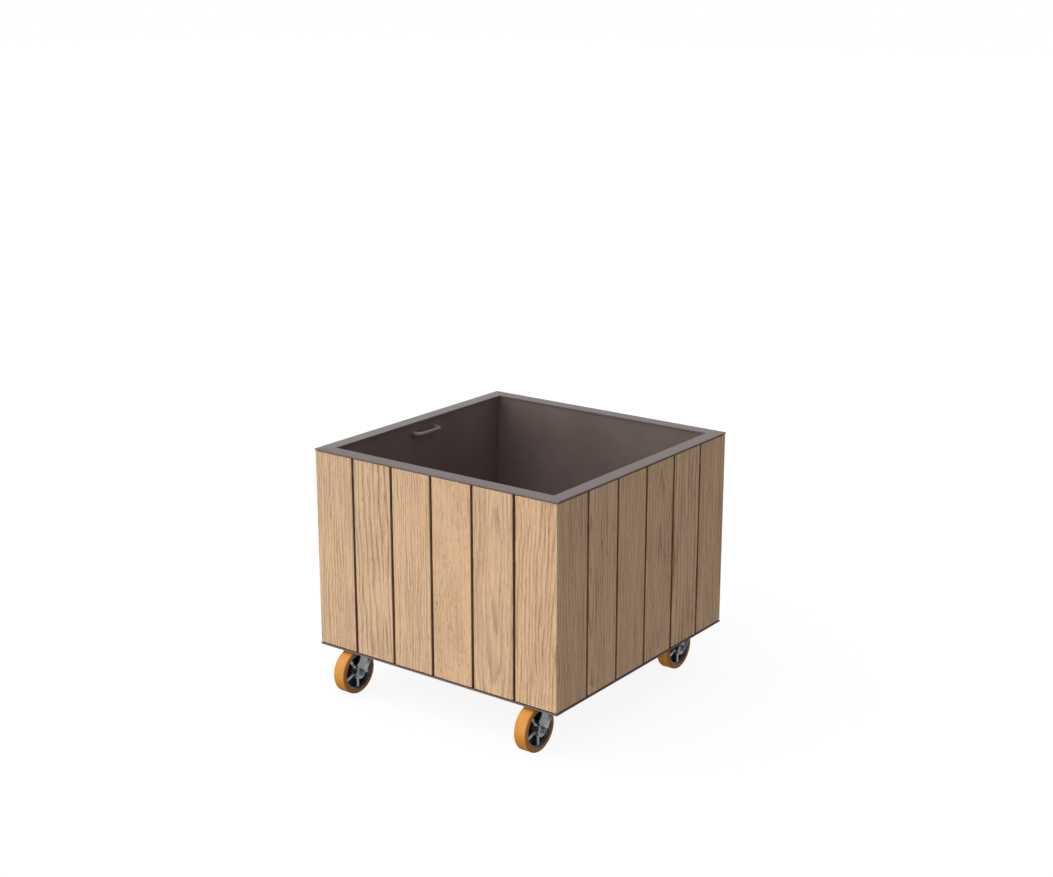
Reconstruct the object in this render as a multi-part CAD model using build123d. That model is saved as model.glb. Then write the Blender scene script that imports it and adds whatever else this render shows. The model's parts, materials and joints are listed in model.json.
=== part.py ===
from build123d import *
import os

# Square timber-clad steel planter box on four swivel casters, in millimetres.
# Origin: on the ground under the middle of the box. +X right, -Y front, +Z up.
# At rest every caster trails towards the front, so all four axles lie along X.

# --- Box -------------------------------------------------------------------
BOX_WIDTH = 800.0
BODY_HEIGHT = 560.0
GROUND_CLEARANCE = 128.0
RIM_WIDTH = 40.0
PLATE_THICKNESS = 4.0
PLATE_EDGE_ROUND = 0.5
RIM_OVERHANG = 4.0
SHEET = 3.0
PLATE_PROUD = 1.0

# --- Timber ----------------------------------------------------------------
PLANKS_PER_SIDE = 6
PLANK_THICKNESS = 18.0
PLANK_GAP = 7.5
PLANK_END_GAP = 2.5
PLANK_EDGE_ROUND = 1.5
PLANK_END_ROUND = 1.0
MITRE_EDGE_ROUND = 0.5
MITRE_GAP = 0.3

# --- Hidden cladding frame ---------------------------------------------------
FRAME_STEEL = 3.0
POST_LEG = 40.0
RAIL_HEIGHT = 40.0
RAIL_INSET = 18.0
LOW_RAIL_HEIGHT = RAIL_INSET + RAIL_HEIGHT

# --- Plank screws ------------------------------------------------------------
SCREW_SHANK_R = 2.4
SCREW_HOLE_R = 2.5
SCREW_DEPTH = 12.0
SCREW_TIP_ROOM = 1.0
SCREW_HEAD_R = 4.5
SCREW_HEAD_HEIGHT = 2.5

# --- Tub floor and lifting handles ---------------------------------------------
FLOOR_THICKNESS = 4.0
DRAIN_R = 11.0
DRAIN_OFFSET = 180.0
HANDLE_ROD_R = 6.0
HANDLE_WIDTH = 94.0
HANDLE_REACH = 26.0
HANDLE_BEND_R = 16.0
HANDLE_DROP = 32.0
HANDLE_SET_BACK = 10.0

# --- Chassis rails -------------------------------------------------------------
CHASSIS_WIDTH = 112.0
CHASSIS_HEIGHT = 30.0
CHASSIS_STEEL = 4.0

# --- Casters -------------------------------------------------------------------
CASTER_HEIGHT = 155.0
SWIVEL_X = 308.0
SWIVEL_Y = 336.0
TRAIL = 34.0
WHEEL_R = 62.5
TYRE_WIDTH = 38.0
TYRE_EDGE_ROUND = 4.0
HUB_R = 50.5
HUB_WIDTH = 35.0
HUB_LIP = 4.0
HUB_LIP_WIDTH = 2.5
HUB_BORE_R = 45.0
BOSS_R = 21.0
BOSS_WIDTH = 40.0
SPOKES = 5
SPOKE_THICKNESS = 8.0
SPOKE_WIDTH = 27.0
HUB_WEB = 4.0
BEARING_R = 16.0
BEARING_WIDTH = 10.0
BEARING_SHOULDER_R = 12.0
BEARING_GROOVE_DEPTH = 1.0
AXLE_R = 6.0
RUNNING_CLEARANCE = 0.05
AXLE_HEAD_R = 9.5
AXLE_HEAD_HEIGHT = 6.5
AXLE_NUT_HEIGHT = 8.0
AXLE_TAIL = 2.0
FORK_STEEL = 3.5
FORK_INNER_HALF = 22.5
FORK_BEND_R = 7.0
FORK_TOP = 135.0
FORK_BOSS_R = 19.0
FORK_SHOULDER = 26.0
FORK_SHOULDER_DROP = 12.0
FORK_FLANGE = 5.0
FORK_FLANGE_STEEL = 3.0
CROWN_R = 37.0
TOP_PLATE = (105.0, 80.0, 5.0)
TOP_PLATE_CORNER_R = 8.0
PLATE_HOLE_SPACING = (80.0, 60.0)
PLATE_HOLE_R = 4.5
RACE_R = 33.0
RACE_BORE_R = 22.0
RACE_GAP = 1.0
RACE_SPLIT = 142.0
KINGPIN_R = 6.0
KINGPIN_CLEARANCE = 0.1
KINGPIN_HEAD_R = 11.0
KINGPIN_HEAD_HEIGHT = 3.5
KINGPIN_HEAD_TOP = 130.5
BOLT_R = 4.0
BOLT_ACROSS_FLATS_R = 7.5
BOLT_HEAD_HEIGHT = 5.3
BOLT_NUT_HEIGHT = 6.5
BOLT_TAIL = 2.5

# --- Worked-out levels and faces -------------------------------------------------
HALF = BOX_WIDTH / 2
RIM_TOP = GROUND_CLEARANCE + BODY_HEIGHT
RIM_UNDER = RIM_TOP - PLATE_THICKNESS
LEDGE_TOP = GROUND_CLEARANCE + PLATE_THICKNESS
WOOD_FACE = HALF - PLATE_PROUD
WOOD_BACK = WOOD_FACE - PLANK_THICKNESS
FRAME_BACK = WOOD_BACK - FRAME_STEEL
RIM_INNER = HALF - RIM_WIDTH
TUB_INNER = RIM_INNER + RIM_OVERHANG
TUB_OUTER = TUB_INNER + SHEET
FLOOR_UNDER = CASTER_HEIGHT + CHASSIS_HEIGHT
FLOOR_TOP = FLOOR_UNDER + FLOOR_THICKNESS
PITCH = BOX_WIDTH / PLANKS_PER_SIDE
RAIL_HIGH = RIM_UNDER - RAIL_INSET - RAIL_HEIGHT
SCREW_LEVELS = (LEDGE_TOP + RAIL_INSET + RAIL_HEIGHT / 2, RAIL_HIGH + RAIL_HEIGHT / 2)
PLATE_UNDER = CASTER_HEIGHT - TOP_PLATE[2]
FORK_OUTER_HALF = FORK_INNER_HALF + FORK_STEEL

SIDES = {"front": 0, "right": 90, "back": 180, "left": 270}
CORNERS = {
    "front_left": (-SWIVEL_X, -SWIVEL_Y),
    "front_right": (SWIVEL_X, -SWIVEL_Y),
    "back_right": (SWIVEL_X, SWIVEL_Y),
    "back_left": (-SWIVEL_X, SWIVEL_Y),
}

nodes = {}


def block(low, high):
    """Box between two opposite corners."""
    size = [b - a for a, b in zip(low, high)]
    middle = [(a + b) / 2 for a, b in zip(low, high)]
    return Pos(*middle) * Box(*size)


def rod(radius, low, high):
    """Upright round bar between two levels."""
    return Pos(0, 0, (low + high) / 2) * Cylinder(radius, high - low)


def hexagon(radius, low, high):
    """Upright hexagonal prism, radius measured to its corners."""
    return Pos(0, 0, low) * extrude(RegularPolygon(radius, 6), high - low)


def along_x(part):
    """Turns an upright part so that its axis lies along X."""
    return Rot(0, 90, 0) * part


def at_side(part, side):
    """Moves a part made for the front to another side of the box."""
    return Rot(0, 0, SIDES[side]) * part


def square_ring(outer, inner, low, high):
    """Flat square frame given by half-widths."""
    body = block((-outer, -outer, low), (outer, outer, high))
    return body - block((-inner, -inner, low), (inner, inner, high))


# --- Timber planks ---------------------------------------------------------------

def plank_middle(index):
    """Distance along the side of a plank's centre line."""
    return -HALF + PITCH * (index + 0.5)


def screw_hole(x, level):
    """Pilot hole through the frame and into the back of a front plank."""
    length = SCREW_DEPTH + SCREW_TIP_ROOM + FRAME_STEEL
    middle = -FRAME_BACK - length / 2
    return Pos(x, middle, level) * Rot(90, 0, 0) * Cylinder(SCREW_HOLE_R, length)


def plank_length_profile():
    """Side view of a front plank, both ends eased on the outer face."""
    low = LEDGE_TOP + PLANK_END_GAP
    high = RIM_UNDER - PLANK_END_GAP
    outline = Polyline(
        (-WOOD_FACE, low),
        (-WOOD_BACK, low),
        (-WOOD_BACK, high),
        (-WOOD_FACE, high),
        close=True,
    )
    profile = make_face(outline)
    profile = fillet(profile.vertices().sort_by(Axis.X)[:2], PLANK_END_ROUND)
    return extrude(Plane.YZ * profile, HALF, both=True)


def front_plank(index):
    """One upright plank of the front side, mitred where it meets a corner."""
    left = -HALF + PITCH * index + PLANK_GAP / 2
    right = left + PITCH - PLANK_GAP
    left_out = left_in = left
    right_out = right_in = right
    if index == 0:
        left_out = -WOOD_FACE + MITRE_GAP
        left_in = -WOOD_BACK + MITRE_GAP
    if index == PLANKS_PER_SIDE - 1:
        right_out = WOOD_FACE - MITRE_GAP
        right_in = WOOD_BACK - MITRE_GAP
    outline = Polyline(
        (left_out, -WOOD_FACE),
        (right_out, -WOOD_FACE),
        (right_in, -WOOD_BACK),
        (left_in, -WOOD_BACK),
        close=True,
    )
    height = RIM_UNDER - LEDGE_TOP - 2 * PLANK_END_GAP
    solid = Pos(0, 0, LEDGE_TOP + PLANK_END_GAP) * extrude(make_face(outline), height)
    for edge_x, mitred in ((left_out, index == 0), (right_out, index == PLANKS_PER_SIDE - 1)):
        edges = solid.edges().filter_by(Axis.Z)
        corner = edges.sort_by_distance((edge_x, -WOOD_FACE, LEDGE_TOP + height / 2))[0]
        solid = fillet(corner, MITRE_EDGE_ROUND if mitred else PLANK_EDGE_ROUND)
    solid &= plank_length_profile()
    for level in SCREW_LEVELS:
        solid -= screw_hole(plank_middle(index), level)
    return solid


def front_screws():
    """Screws driven from inside the frame into the front planks."""
    screws = []
    for index in range(PLANKS_PER_SIDE):
        for level in SCREW_LEVELS:
            head = rod(SCREW_HEAD_R, -SCREW_HEAD_HEIGHT, 0)
            shank = rod(SCREW_SHANK_R, 0, FRAME_STEEL + SCREW_DEPTH)
            screw = Rot(90, 0, 0) * (head + shank)
            screws.append(Pos(plank_middle(index), -FRAME_BACK, level) * screw)
    return screws


for side in SIDES:
    for index in range(PLANKS_PER_SIDE):
        nodes[f"plank_{side}_{index + 1}"] = [at_side(front_plank(index), side)]

nodes["plank_screws"] = [at_side(screw, side) for side in SIDES for screw in front_screws()]


# --- Welded steel box ------------------------------------------------------------

def rim_flange():
    """Wide flat rim on top of the tub walls, over the ends of the planks."""
    ring = square_ring(HALF, RIM_INNER, RIM_UNDER, RIM_TOP)
    upper = ring.edges().filter_by_position(Axis.Z, RIM_TOP, RIM_TOP)
    return fillet(upper, PLATE_EDGE_ROUND)


def base_ledge():
    """Flat square frame that carries the planks at the bottom."""
    ring = square_ring(HALF, FRAME_BACK, GROUND_CLEARANCE, LEDGE_TOP)
    lower = ring.edges().filter_by_position(Axis.Z, GROUND_CLEARANCE, GROUND_CLEARANCE)
    return fillet(lower, PLATE_EDGE_ROUND)


def cladding_frame():
    """Corner posts joined by a low and a high rail, behind the planks."""
    posts = square_ring(WOOD_BACK, FRAME_BACK, LEDGE_TOP, RIM_UNDER)
    clear = WOOD_BACK - POST_LEG
    posts -= block((-clear, -HALF, 0), (clear, HALF, RIM_TOP))
    posts -= block((-HALF, -clear, 0), (HALF, clear, RIM_TOP))
    frame = posts
    for level, height in ((LEDGE_TOP, LOW_RAIL_HEIGHT), (RAIL_HIGH, RAIL_HEIGHT)):
        frame += square_ring(WOOD_BACK, FRAME_BACK, level, level + height)
    for side in SIDES:
        for index in range(PLANKS_PER_SIDE):
            for level in SCREW_LEVELS:
                frame -= at_side(screw_hole(plank_middle(index), level), side)
    return frame


def tub_wall(side):
    """Sheet wall of the tub; the left and right walls fit between the other two."""
    half_length = TUB_OUTER if side in ("front", "back") else TUB_INNER
    wall = block((-half_length, -TUB_OUTER, FLOOR_TOP), (half_length, -TUB_INNER, RIM_UNDER))
    return at_side(wall, side)


def tub_floor():
    """Floor sheet of the tub with four drain holes."""
    floor = block((-TUB_OUTER, -TUB_OUTER, FLOOR_UNDER), (TUB_OUTER, TUB_OUTER, FLOOR_TOP))
    for x in (-DRAIN_OFFSET, DRAIN_OFFSET):
        for y in (-DRAIN_OFFSET, DRAIN_OFFSET):
            floor -= Pos(x, y, 0) * rod(DRAIN_R, FLOOR_UNDER, FLOOR_TOP)
    return floor


def caster_bolt_places():
    """Bolt positions relative to a swivel axis."""
    half_x, half_y = (spacing / 2 for spacing in PLATE_HOLE_SPACING)
    return [(x, y) for x in (-half_x, half_x) for y in (-half_y, half_y)]


def chassis_rail(x):
    """Folded channel under the floor, its web down, drilled for two casters."""
    half = CHASSIS_WIDTH / 2
    inner = half - CHASSIS_STEEL
    rail = block((x - half, -FRAME_BACK, CASTER_HEIGHT), (x + half, FRAME_BACK, FLOOR_UNDER))
    web_top = CASTER_HEIGHT + CHASSIS_STEEL
    rail -= block((x - inner, -FRAME_BACK, web_top), (x + inner, FRAME_BACK, FLOOR_UNDER))
    for y in (-SWIVEL_Y, SWIVEL_Y):
        for dx, dy in caster_bolt_places():
            rail -= Pos(x + dx, y + dy, 0) * rod(PLATE_HOLE_R, CASTER_HEIGHT, web_top)
    return rail


def lifting_handle(side_sign):
    """Round-bar loop welded to a side wall just below the rim."""
    wall = side_sign * TUB_INNER
    reach = wall - side_sign * HANDLE_REACH
    level = RIM_TOP - HANDLE_DROP
    front_end = HANDLE_SET_BACK - HANDLE_WIDTH / 2
    back_end = HANDLE_SET_BACK + HANDLE_WIDTH / 2
    path = FilletPolyline(
        (wall, front_end, level),
        (reach, front_end, level),
        (reach, back_end, level),
        (wall, back_end, level),
        radius=HANDLE_BEND_R,
    )
    start = Plane(origin=path @ 0, z_dir=path % 0)
    return sweep(start * Circle(HANDLE_ROD_R), path=path)


nodes["rim_flange"] = [rim_flange()]
nodes["base_ledge"] = [base_ledge()]
nodes["cladding_frame"] = [cladding_frame()]
nodes["tub_floor"] = [tub_floor()]
for side in SIDES:
    nodes[f"tub_wall_{side}"] = [tub_wall(side)]
nodes["chassis_rail_left"] = [chassis_rail(-SWIVEL_X)]
nodes["chassis_rail_right"] = [chassis_rail(SWIVEL_X)]
nodes["lifting_handle_left"] = [lifting_handle(-1)]
nodes["lifting_handle_right"] = [lifting_handle(1)]


# --- Casters, each made around its own swivel axis ---------------------------------

def top_plate():
    """Mounting plate with the upper ball race under it."""
    length, width, _ = TOP_PLATE
    outline = RectangleRounded(length, width, TOP_PLATE_CORNER_R)
    plate = Pos(0, 0, PLATE_UNDER) * extrude(outline, TOP_PLATE[2])
    plate += rod(RACE_R, RACE_SPLIT + RACE_GAP, PLATE_UNDER)
    plate -= rod(RACE_BORE_R, RACE_SPLIT + RACE_GAP, PLATE_UNDER)
    plate -= rod(KINGPIN_R, PLATE_UNDER, CASTER_HEIGHT)
    for x, y in caster_bolt_places():
        plate -= Pos(x, y, 0) * rod(PLATE_HOLE_R, PLATE_UNDER, CASTER_HEIGHT)
    return plate


def kingpin():
    """Headed pin that hangs the fork from the top plate."""
    head = hexagon(KINGPIN_HEAD_R, KINGPIN_HEAD_TOP - KINGPIN_HEAD_HEIGHT, KINGPIN_HEAD_TOP)
    return head + rod(KINGPIN_R, KINGPIN_HEAD_TOP, CASTER_HEIGHT)


def plate_bolt(x, y):
    """Bolt from below and nut above, clamping a top plate to the chassis web."""
    web_top = CASTER_HEIGHT + CHASSIS_STEEL
    nut_top = web_top + BOLT_NUT_HEIGHT
    head = hexagon(BOLT_ACROSS_FLATS_R, PLATE_UNDER - BOLT_HEAD_HEIGHT, PLATE_UNDER)
    bolt = head + rod(BOLT_R, PLATE_UNDER, nut_top + BOLT_TAIL)
    nut = hexagon(BOLT_ACROSS_FLATS_R, web_top, nut_top) - rod(BOLT_R, web_top, nut_top)
    return [Pos(x, y, 0) * bolt, Pos(x, y, 0) * nut]


def fork_outline():
    """Side view of the fork: a leaning leg with a round foot at the axle."""
    shoulder = FORK_TOP - FORK_SHOULDER_DROP
    foot = Pos(-TRAIL, WHEEL_R) * Circle(FORK_BOSS_R)
    crown = Pos(0, FORK_TOP - FORK_SHOULDER_DROP / 2) * Rectangle(2 * CROWN_R, FORK_SHOULDER_DROP)
    leg = Polyline(
        (-FORK_SHOULDER, shoulder),
        (FORK_SHOULDER, shoulder),
        (-TRAIL + FORK_BOSS_R, WHEEL_R),
        (-TRAIL - FORK_BOSS_R, WHEEL_R),
        close=True,
    )
    return foot + crown + make_face(leg)


def fork_flange():
    """Stiffening lips turned outwards along the upper edge of both legs."""
    top = (FORK_SHOULDER, FORK_TOP - FORK_SHOULDER_DROP)
    foot = (FORK_BOSS_R - TRAIL, WHEEL_R)
    strip = Polyline(
        top,
        foot,
        (foot[0] - FORK_FLANGE_STEEL, foot[1]),
        (top[0] - FORK_FLANGE_STEEL, top[1]),
        close=True,
    )
    reach = FORK_OUTER_HALF + FORK_FLANGE
    lips = extrude(Plane.YZ * make_face(strip), reach, both=True)
    return lips - block((-FORK_INNER_HALF, -HALF, 0), (FORK_INNER_HALF, HALF, FORK_TOP))


def fork():
    """Pressed U-shaped fork with the lower ball race on its crown."""
    section = Pos(0, FORK_TOP / 2) * Rectangle(2 * FORK_OUTER_HALF, FORK_TOP)
    section -= Pos(0, (FORK_TOP - FORK_STEEL) / 2) * Rectangle(2 * FORK_INNER_HALF, FORK_TOP - FORK_STEEL)
    channel = extrude(Plane.XZ * section, WHEEL_R * 2, both=True)
    for half, level, radius in (
        (FORK_OUTER_HALF, FORK_TOP, FORK_BEND_R),
        (FORK_INNER_HALF, FORK_TOP - FORK_STEEL, FORK_BEND_R - FORK_STEEL),
    ):
        for x in (-half, half):
            bend = channel.edges().filter_by(Axis.Y).sort_by_distance((x, 0, level))[0]
            channel = fillet(bend, radius)
    side_view = extrude(Plane.YZ * fork_outline(), FORK_OUTER_HALF, both=True)
    round_top = rod(CROWN_R, FORK_TOP - FORK_SHOULDER_DROP, FORK_TOP)
    round_top += block((-WHEEL_R, -BOX_WIDTH, 0), (WHEEL_R, BOX_WIDTH, FORK_TOP - FORK_SHOULDER_DROP))
    body = channel & side_view & round_top
    body += fork_flange()
    body += rod(RACE_R, FORK_TOP, RACE_SPLIT) - rod(RACE_BORE_R, FORK_TOP, RACE_SPLIT)
    body -= rod(KINGPIN_R + KINGPIN_CLEARANCE, FORK_TOP - FORK_STEEL, FORK_TOP)
    axle_hole = along_x(Cylinder(AXLE_R, 2 * FORK_OUTER_HALF))
    return body - Pos(0, -TRAIL, WHEEL_R) * axle_hole


def at_wheel(part):
    """Moves a part made around the origin to the wheel centre of a caster."""
    return Pos(0, -TRAIL, WHEEL_R) * part


def axle_bolt():
    """Shouldered axle with a hexagon head on one side and a lock nut on the other."""
    nut_end = FORK_OUTER_HALF + AXLE_NUT_HEIGHT
    shaft = rod(AXLE_R, -FORK_OUTER_HALF, nut_end + AXLE_TAIL)
    head = hexagon(AXLE_HEAD_R, -FORK_OUTER_HALF - AXLE_HEAD_HEIGHT, -FORK_OUTER_HALF)
    nut = hexagon(AXLE_HEAD_R, FORK_OUTER_HALF, nut_end) - rod(AXLE_R, FORK_OUTER_HALF, nut_end)
    return [at_wheel(along_x(shaft + head)), at_wheel(along_x(nut))]


def wheel_hub():
    """Cast wheel body: rim, web, five ribs a side and a boss with two bearing seats."""
    half = HUB_WIDTH / 2
    rim = rod(HUB_R, -half, half) - rod(HUB_BORE_R, -half, half)
    for end in (-1, 1):
        recess = rod(HUB_R - HUB_LIP_WIDTH, 0, HUB_LIP) - rod(HUB_BORE_R, 0, HUB_LIP)
        rim -= Pos(0, 0, end * (half - HUB_LIP / 2) - HUB_LIP / 2) * recess
    boss = rod(BOSS_R, -BOSS_WIDTH / 2, BOSS_WIDTH / 2)
    middle_r = (BOSS_R + HUB_BORE_R) / 2
    length = HUB_BORE_R - BOSS_R + HUB_LIP
    hub = rim + boss + rod(HUB_R - HUB_LIP_WIDTH, -HUB_WEB / 2, HUB_WEB / 2)
    for number in range(SPOKES):
        spoke = Pos(middle_r, 0, 0) * Box(length, SPOKE_THICKNESS, SPOKE_WIDTH)
        hub += Rot(0, 0, 360 / SPOKES * number) * spoke
    hub -= rod(BEARING_SHOULDER_R, -BOSS_WIDTH / 2, BOSS_WIDTH / 2)
    seat = BOSS_WIDTH / 2 - BEARING_WIDTH
    hub -= rod(BEARING_R, seat, BOSS_WIDTH / 2)
    hub -= rod(BEARING_R, -BOSS_WIDTH / 2, -seat)
    return at_wheel(along_x(hub))


def wheel_bearings():
    """Pair of ball bearings in the hub, each with its shield set back."""
    bearings = []
    bore_r = AXLE_R + RUNNING_CLEARANCE
    race = (BEARING_R - bore_r) / 4
    for end in (-1, 1):
        ring = Cylinder(BEARING_R, BEARING_WIDTH) - Cylinder(bore_r, BEARING_WIDTH)
        shield = Cylinder(BEARING_R - race, BEARING_GROOVE_DEPTH)
        shield -= Cylinder(bore_r + race, BEARING_GROOVE_DEPTH)
        ring -= Pos(0, 0, end * (BEARING_WIDTH - BEARING_GROOVE_DEPTH) / 2) * shield
        middle = end * (BOSS_WIDTH - BEARING_WIDTH) / 2
        bearings.append(at_wheel(along_x(Pos(0, 0, middle) * ring)))
    return bearings


def tyre():
    """Solid cast tyre with rounded shoulders."""
    body = Cylinder(WHEEL_R, TYRE_WIDTH)
    shoulders = body.edges().filter_by(GeomType.CIRCLE)
    body = fillet(shoulders, TYRE_EDGE_ROUND)
    return at_wheel(along_x(body - Cylinder(HUB_R, TYRE_WIDTH)))


nodes["caster_top_plates"] = [Pos(x, y, 0) * top_plate() for x, y in CORNERS.values()]
nodes["caster_kingpins"] = [Pos(x, y, 0) * kingpin() for x, y in CORNERS.values()]
nodes["caster_bolts"] = [
    Pos(x, y, 0) * solid
    for x, y in CORNERS.values()
    for dx, dy in caster_bolt_places()
    for solid in plate_bolt(dx, dy)
]
for corner, (x, y) in CORNERS.items():
    place = Pos(x, y, 0)
    nodes[f"caster_fork_{corner}"] = [place * fork()]
    nodes[f"axle_bolt_{corner}"] = [place * solid for solid in axle_bolt()]
    nodes[f"wheel_hub_{corner}"] = [place * wheel_hub()]
    nodes[f"wheel_bearings_{corner}"] = [place * solid for solid in wheel_bearings()]
    nodes[f"wheel_tyre_{corner}"] = [place * tyre()]


# --- One STEP file for each node -----------------------------------------------------

os.makedirs("parts", exist_ok=True)
for name, shapes in nodes.items():
    solids = [solid for shape in shapes for solid in shape.solids()]
    group = solids[0] if len(solids) == 1 else Compound(children=solids)
    export_step(group, f"parts/{name}.step")
print(len(nodes), "nodes written")
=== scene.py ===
import json
import math
import random

import bpy
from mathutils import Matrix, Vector


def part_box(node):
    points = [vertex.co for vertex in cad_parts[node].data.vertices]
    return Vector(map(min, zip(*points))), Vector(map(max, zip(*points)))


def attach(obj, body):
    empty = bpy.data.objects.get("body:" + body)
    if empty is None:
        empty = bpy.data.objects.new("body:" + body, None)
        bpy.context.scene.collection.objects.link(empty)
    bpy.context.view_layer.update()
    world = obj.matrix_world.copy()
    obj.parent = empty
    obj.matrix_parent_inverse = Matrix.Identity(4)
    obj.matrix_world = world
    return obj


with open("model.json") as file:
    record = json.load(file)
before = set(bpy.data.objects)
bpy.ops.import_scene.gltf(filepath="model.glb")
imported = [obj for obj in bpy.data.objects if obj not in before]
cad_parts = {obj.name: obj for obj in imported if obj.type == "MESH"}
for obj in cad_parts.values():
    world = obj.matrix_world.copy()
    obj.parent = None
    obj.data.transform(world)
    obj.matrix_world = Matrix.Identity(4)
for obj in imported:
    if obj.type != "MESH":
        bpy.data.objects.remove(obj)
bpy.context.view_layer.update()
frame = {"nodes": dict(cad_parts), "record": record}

SIDES = ("front", "right", "back", "left")
CORNERS = ("front_left", "front_right", "back_right", "back_left")
PLANKS_PER_SIDE = 6

# --- Caster places and sizes, used by the wheel materials and the axle washers ---------------
SWIVEL_Y = 0.336
TRAIL = 0.034
WHEEL_X = 0.308
WHEEL_R = 0.0625
FORK_OUTER_HALF = 0.026

# --- Camera: turned 36.6 degrees towards +X and 15.5 degrees down ----------------------------
CAMERA_AZIMUTH = 36.62
CAMERA_ELEVATION = 15.46
CAMERA_PLACE = (2.666, -3.575, 1.926)
CAMERA_LENS = 58.14
CAMERA_SENSOR = 36.0

# --- Light levels, floor and the wall round it -----------------------------------------------
SKY_LOW = 0.10
SKY_HIGH = 0.72
KEY_STRENGTH = 2.90
KEY_FROM = (-0.55, -0.74, 0.42)
KEY_SOFTNESS = math.radians(95)
FLOOR_GLOW = 0.90
FLOOR_DIFFUSE = 0.12
FLOOR_HALF = 36.0
WALL_HALF = 0.98 * FLOOR_HALF
WALL_GLOW = 1.0
WHITE = (1, 1, 1, 1)

# Most of a noise's values lie between these two.
NOISE_LOW = 0.3
NOISE_HIGH = 0.7
NO_OFFSET = (0.0, 0.0, 0.0)


# --- Small helpers for node trees ------------------------------------------------------------

def add(tree, kind, inputs=None, **settings):
    """Adds a node; inputs may be plain values or the output sockets of other nodes."""
    made = tree.nodes.new(kind)
    for key, value in settings.items():
        setattr(made, key, value)
    for key, value in (inputs or {}).items():
        if isinstance(value, bpy.types.NodeSocket):
            tree.links.new(value, made.inputs[key])
        else:
            made.inputs[key].default_value = value
    return made


def math_node(tree, operation, a, b=0.0, c=0.0):
    """Result of one arithmetic step."""
    return add(tree, "ShaderNodeMath", {0: a, 1: b, 2: c}, operation=operation).outputs[0]


def noise(tree, vector, scale, detail, roughness):
    """Noise value around 0.5; scale is in waves per metre."""
    inputs = {"Vector": vector, "Scale": scale, "Detail": detail, "Roughness": roughness}
    return add(tree, "ShaderNodeTexNoise", inputs).outputs["Fac"]


def long_noise(tree, vector, scale, offset, detail, roughness):
    """Noise that is longer one way than another; scale is in waves per metre on each axis."""
    inputs = {"Vector": vector, "Scale": scale, "Location": offset}
    stretched = add(tree, "ShaderNodeMapping", inputs).outputs[0]
    return noise(tree, stretched, 1.0, detail, roughness)


def centred(tree, value, amount):
    """Noise brought to swing around zero."""
    return math_node(tree, "MULTIPLY", math_node(tree, "SUBTRACT", value, 0.5), amount)


def ramp(tree, value, *stops):
    """Colour ramp through (position, colour) stops."""
    made = add(tree, "ShaderNodeValToRGB", {"Fac": value})
    elements = made.color_ramp.elements
    while len(elements) < len(stops):
        elements.new(0.5)
    for element, (position, colour) in zip(elements, stops):
        element.position = position
        element.color = (*colour, 1.0)
    return made.outputs["Color"]


def remap(tree, value, low, high, to_low=0.0, to_high=1.0, smooth=False):
    """Value moved from one range to another, held at the ends."""
    inputs = {"Value": value, "From Min": low, "From Max": high, "To Min": to_low, "To Max": to_high}
    kind = "SMOOTHSTEP" if smooth else "LINEAR"
    return add(tree, "ShaderNodeMapRange", inputs, interpolation_type=kind).outputs["Result"]


def mix_colour(tree, factor, a, b, blend="MIX"):
    """Mixes two colours; inputs 6 and 7 of the Mix node are the ones for colours."""
    made = add(tree, "ShaderNodeMix", {"Factor": factor}, data_type="RGBA", blend_type=blend)
    for socket, value in ((made.inputs[6], a), (made.inputs[7], b)):
        if isinstance(value, bpy.types.NodeSocket):
            tree.links.new(value, socket)
        else:
            socket.default_value = (*value, 1.0)
    return made.outputs[2]


def split(tree, vector):
    """X, Y and Z of a vector."""
    return add(tree, "ShaderNodeSeparateXYZ", {0: vector}).outputs


def grey(value):
    """Neutral colour."""
    return (value, value, value)


def darker(colour, amount):
    """Colour with each part multiplied by the amount."""
    return tuple(part * amount for part in colour)


def new_material(name):
    """Empty material, its tree and its principled shader."""
    material = bpy.data.materials.new(name)
    material.use_nodes = True
    tree = material.node_tree
    return material, tree, tree.nodes["Principled BSDF"]


def object_place(tree):
    """Place on the object at rest, in metres."""
    return add(tree, "ShaderNodeTexCoord").outputs["Object"]


def dress(tree, shader, colour, rough, height, bump_depth):
    """Links colour and roughness to the shader, and a bump of the given depth in metres."""
    tree.links.new(colour, shader.inputs["Base Color"])
    tree.links.new(rough, shader.inputs["Roughness"])
    relief = add(tree, "ShaderNodeBump", {"Height": height, "Distance": bump_depth, "Strength": 1.0})
    tree.links.new(relief.outputs["Normal"], shader.inputs["Normal"])


# --- Oak -------------------------------------------------------------------------------------

OAK_PALE = (0.70, 0.475, 0.280)
OAK_MIDDLE = (0.515, 0.335, 0.204)
OAK_DARK = (0.300, 0.176, 0.098)
OAK_PORE = (0.155, 0.085, 0.045)
# Colour of the painted shade in the gaps between planks.
OAK_GROOVE_SHADE = (0.140, 0.084, 0.052)
OAK_BLUSH = (1.0, 0.962, 0.990)
OAK_SPECULAR = 0.20
OAK_ROUGHNESS = (0.55, 0.75)

# Planks that reach past this distance from the middle end in a mitre, with no groove there.
MITRE_START = 0.390
# The sides of a plank that face another plank are painted dark as the shade in the gap; these set
# where it fades in and how strong it is.
GROOVE_EDGE = (0.0002, 0.0009)
GROOVE_SHADE_STRENGTH = 0.62

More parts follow.
